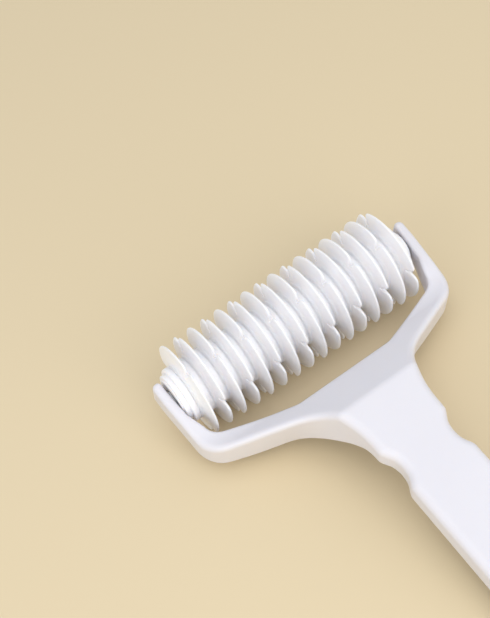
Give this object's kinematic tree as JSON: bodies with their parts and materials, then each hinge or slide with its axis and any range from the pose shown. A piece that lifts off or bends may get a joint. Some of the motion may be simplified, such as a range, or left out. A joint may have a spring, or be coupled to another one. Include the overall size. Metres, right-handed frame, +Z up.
{
  "type": "pastry cutter wheel",
  "caption": "Lattice pastry cutter: a row of thin petalled cutting discs on one axle, turning freely in a white plastic fork with a cranked handle.",
  "frame": {"origin": "centre of the footprint on the worktop, with the cutter resting on its disc rims and on the end of its handle", "axes": "+X along the axle, +Y away from the handle towards the roller, +Z up from the worktop"},
  "size_m": [0.126, 0.2012, 0.0408],
  "materials": {
    "handle_plastic": "satin injection-moulded white",
    "disc_plastic": "smooth injection-moulded white",
    "axle_plastic": "smooth injection-moulded white"
  },
  "bodies": {
    "handle_body": {"handle": "handle_plastic"},
    "roller": {"axle_shaft": "axle_plastic", "end_collar_left": "axle_plastic", "end_collar_right": "axle_plastic", "cutting_disc_01": "disc_plastic", "cutting_disc_02": "disc_plastic", "cutting_disc_03": "disc_plastic", "cutting_disc_04": "disc_plastic", "cutting_disc_05": "disc_plastic", "cutting_disc_06": "disc_plastic", "cutting_disc_07": "disc_plastic", "cutting_disc_08": "disc_plastic", "cutting_disc_09": "disc_plastic", "cutting_disc_10": "disc_plastic", "cutting_disc_11": "disc_plastic", "cutting_disc_12": "disc_plastic", "cutting_disc_13": "disc_plastic", "cutting_disc_14": "disc_plastic", "cutting_disc_15": "disc_plastic", "cutting_disc_16": "disc_plastic"}
  },
  "joints": [
    {"name": "roller_spin", "type": "hinge", "parent": "handle_body", "child": "roller", "pos_m": [0, 0.08021, 0.0204], "axis": [1, 0, 0], "continuous": true}
  ]
}
